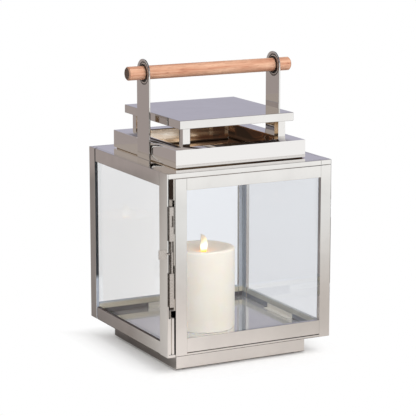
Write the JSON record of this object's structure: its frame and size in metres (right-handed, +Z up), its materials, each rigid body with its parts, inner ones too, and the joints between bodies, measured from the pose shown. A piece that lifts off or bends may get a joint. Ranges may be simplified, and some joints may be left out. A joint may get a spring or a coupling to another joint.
{
  "type": "candle lantern",
  "caption": "Square polished steel and glass candle lantern with a hinged glass door, turn latch, vented raised roof, wooden carrying dowel and a battery pillar candle.",
  "frame": {"origin": "on the table, at the centre of the case and of the four feet", "axes": "+Z up, -Y is the front where the door is, +X is the hinge side, to the right when facing the door"},
  "size_m": [0.2697, 0.2579, 0.4192],
  "materials": {
    "polished_steel": "mirror-polished nickel-plated stainless steel",
    "hardware_steel": "satin steel hinge, latch and fixing hardware",
    "clip_steel": "bright bent strip",
    "clear_glass": "clear float glass",
    "oiled_wood": "oiled reddish-brown hardwood dowel",
    "rubber": "soft black rubber pads",
    "wax": "ivory wax, satin",
    "candle_plastic": "ivory moulded plastic",
    "cell_jacket": "plain sleeved dry cell",
    "lamp_lens": "clear amber lens",
    "flame_plastic": "translucent warm white flame"
  },
  "bodies": {
    "lantern_body": {"back_bottom_rail": "polished_steel", "back_stile_left": "polished_steel", "back_stile_right": "polished_steel", "back_top_rail": "polished_steel", "candle_cells": "cell_jacket", "candle_core": "candle_plastic", "candle_cover": "candle_plastic", "candle_lamp": "lamp_lens", "candle_wax": "wax", "channel_guard": "polished_steel", "channel_sill": "polished_steel", "collar_seat": "polished_steel", "collar_sides": "polished_steel", "door_header": "polished_steel", "flame_wire": "hardware_steel", "floor_pan": "polished_steel", "foot_pads": "rubber", "glass_back": "clear_glass", "glass_clips_back": "clip_steel", "glass_clips_left": "clip_steel", "glass_clips_right": "clip_steel", "glass_left": "clear_glass", "glass_right": "clear_glass", "handle_dowel": "oiled_wood", "handle_strap_left": "polished_steel", "handle_strap_right": "polished_steel", "header_block": "polished_steel", "hinge_frame_halves": "hardware_steel", "hinge_pins": "hardware_steel", "latch_brackets": "hardware_steel", "latch_channel": "polished_steel", "left_bottom_rail": "polished_steel", "left_rear_stile": "polished_steel", "left_top_rail": "polished_steel", "plinth_sides": "polished_steel", "post_screws": "hardware_steel", "right_bottom_rail": "polished_steel", "right_front_stile": "polished_steel", "right_rear_stile": "polished_steel", "right_top_rail": "polished_steel", "roof_tray": "polished_steel", "roof_underplate": "polished_steel", "strap_nuts": "hardware_steel", "strap_studs": "hardware_steel", "top_plate": "polished_steel", "vent_posts": "polished_steel"},
    "door": {"door_stile_left": "polished_steel", "door_stile_right": "polished_steel", "door_rail_top": "polished_steel", "door_rail_bottom": "polished_steel", "door_glass": "clear_glass", "door_clips": "clip_steel", "hinge_door_halves": "hardware_steel"},
    "latch": {"latch_lever": "hardware_steel"},
    "flame": {"candle_flame": "flame_plastic", "flame_magnet": "hardware_steel"},
    "switch": {"candle_switch": "candle_plastic"}
  },
  "joints": [
    {"name": "door_swing", "type": "hinge", "parent": "lantern_body", "child": "door", "pos_m": [0.1272, -0.1206, 0.15175], "axis": [0, 0, 1], "range_deg": [0, 180]},
    {"name": "latch_turn", "type": "hinge", "parent": "lantern_body", "child": "latch", "pos_m": [-0.1215, -0.1285, 0.173], "axis": [0, 0, 1], "range_deg": [0, 180]},
    {"name": "flame_sway", "type": "hinge", "parent": "lantern_body", "child": "flame", "pos_m": [-0.012, -0.009, 0.1337], "axis": [0, 1, 0], "range_deg": [-8, 8]},
    {"name": "switch_slide", "type": "slide", "parent": "lantern_body", "child": "switch", "axis": [1, 0, 0], "range_m": [0, 0.003]}
  ]
}
